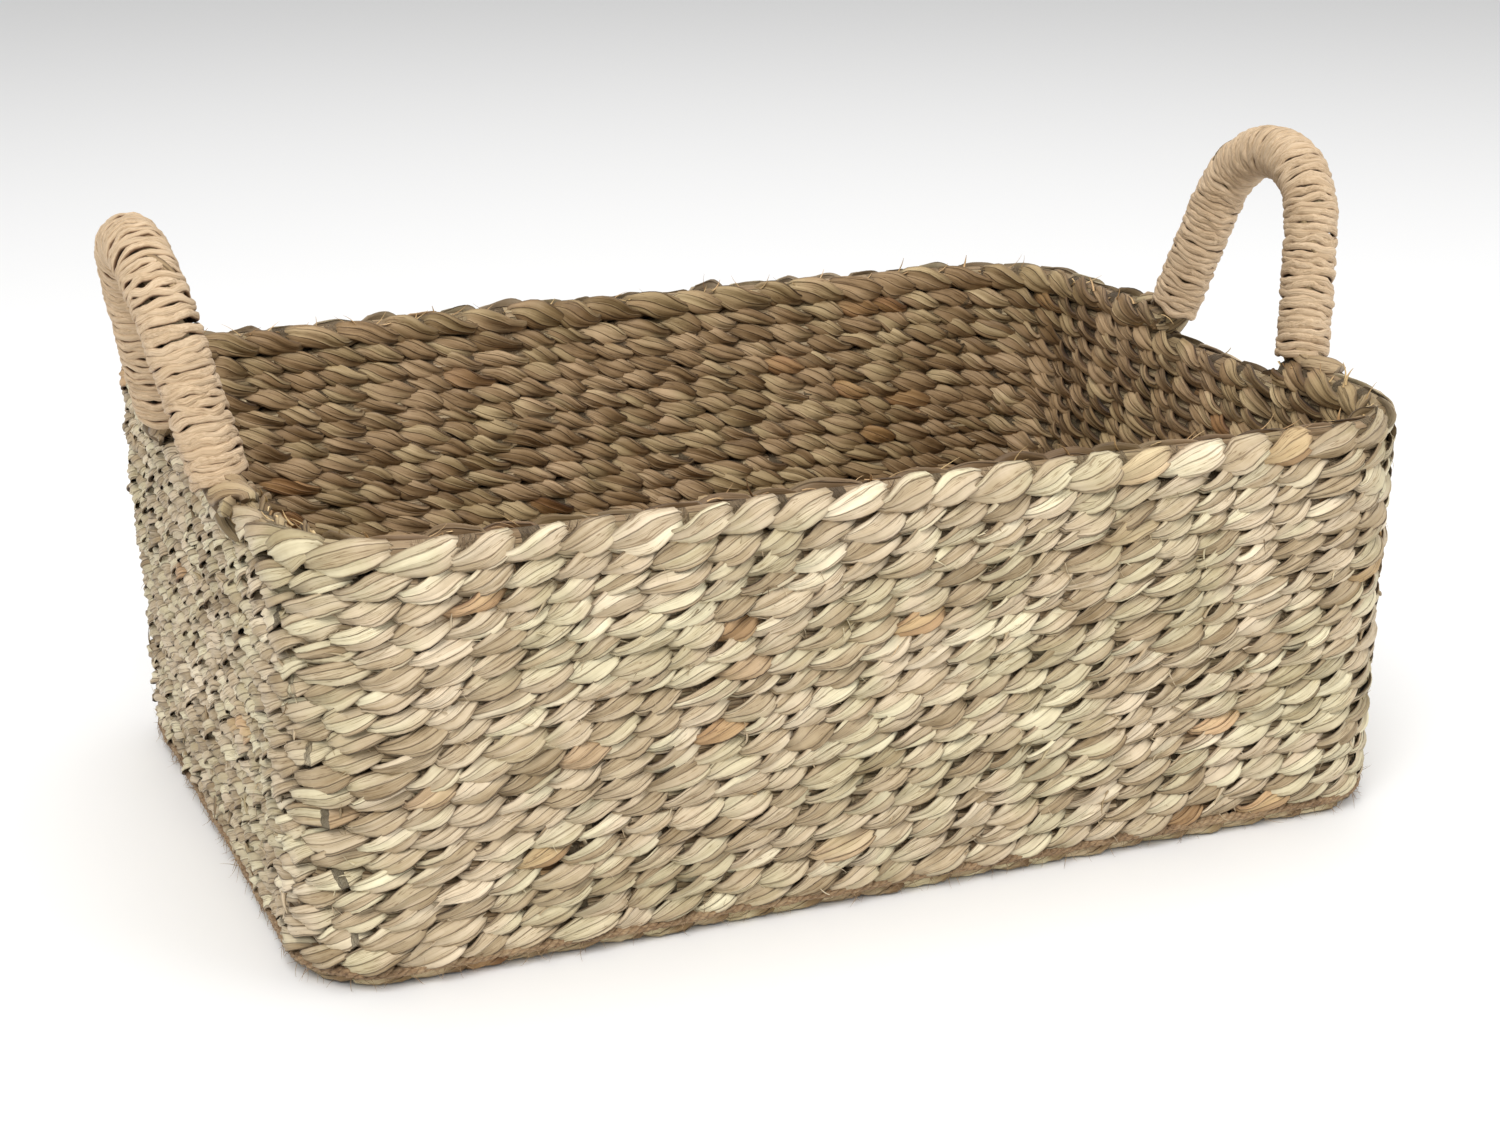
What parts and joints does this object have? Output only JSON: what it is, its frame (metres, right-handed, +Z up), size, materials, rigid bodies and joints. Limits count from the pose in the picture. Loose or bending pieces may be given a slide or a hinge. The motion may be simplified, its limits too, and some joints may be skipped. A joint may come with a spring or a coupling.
{
  "type": "seagrass storage basket",
  "caption": "Rectangular open storage basket of plaited seagrass with rounded corners and a wrapped, arched, flexing handle on each short side.",
  "frame": {"origin": "middle of the underside, on the surface the basket stands on", "axes": "+Z up, +X along the basket's length towards one handle, +Y across its depth"},
  "size_m": [0.4432, 0.293, 0.2225],
  "materials": {
    "wall_plait": "dry plaited seagrass, pale greenish straw outside and browner inside, satin",
    "rim_plait": "dry plaited seagrass, heavier plait, satin",
    "base_plait": "dry plaited seagrass, browner, satin",
    "handle_core_plait": "dry plaited seagrass strands, satin",
    "raffia_wrap": "flat raffia ribbon in tight turns, warm tan, satin",
    "jute_twine": "hairy twisted jute, brown, matt"
  },
  "bodies": {
    "basket": {"base_start": "base_plait", "base_turn_01": "base_plait", "base_turn_02": "base_plait", "base_turn_03": "base_plait", "base_turn_04": "base_plait", "base_turn_05": "base_plait", "base_turn_06": "base_plait", "base_turn_07": "base_plait", "base_turn_08": "base_plait", "base_turn_09": "base_plait", "base_lacing": "jute_twine", "foot_cord": "jute_twine", "wall_row_01": "wall_plait", "wall_row_02": "wall_plait", "wall_row_03": "wall_plait", "wall_row_04": "wall_plait", "wall_row_05": "wall_plait", "wall_row_06": "wall_plait", "wall_row_07": "wall_plait", "wall_row_08": "wall_plait", "wall_row_09": "wall_plait", "wall_row_10": "wall_plait", "wall_row_11": "wall_plait", "wall_row_12": "wall_plait", "wall_row_13": "wall_plait", "wall_row_14": "wall_plait", "wall_row_15": "wall_plait", "wall_row_16": "wall_plait", "wall_row_17": "wall_plait", "wall_row_18": "wall_plait", "wall_row_19": "wall_plait", "rim_front": "rim_plait", "rim_back": "rim_plait", "lacing_front": "jute_twine", "lacing_back": "jute_twine", "lacing_left": "jute_twine", "lacing_right": "jute_twine"},
    "handle_left": {"handle_core_left": "handle_core_plait", "handle_wrap_left": "raffia_wrap"},
    "handle_right": {"handle_core_right": "handle_core_plait", "handle_wrap_right": "raffia_wrap"}
  },
  "joints": [
    {"name": "handle_left_flex", "type": "hinge", "parent": "basket", "child": "handle_left", "pos_m": [-0.197, -0.014, 0.1412], "axis": [0, -1, 0], "range_deg": [-35, 25], "stiffness_Nm_per_rad": 1},
    {"name": "handle_right_flex", "type": "hinge", "parent": "basket", "child": "handle_right", "pos_m": [0.197, -0.014, 0.1412], "axis": [0, 1, 0], "range_deg": [-35, 25], "stiffness_Nm_per_rad": 1}
  ]
}
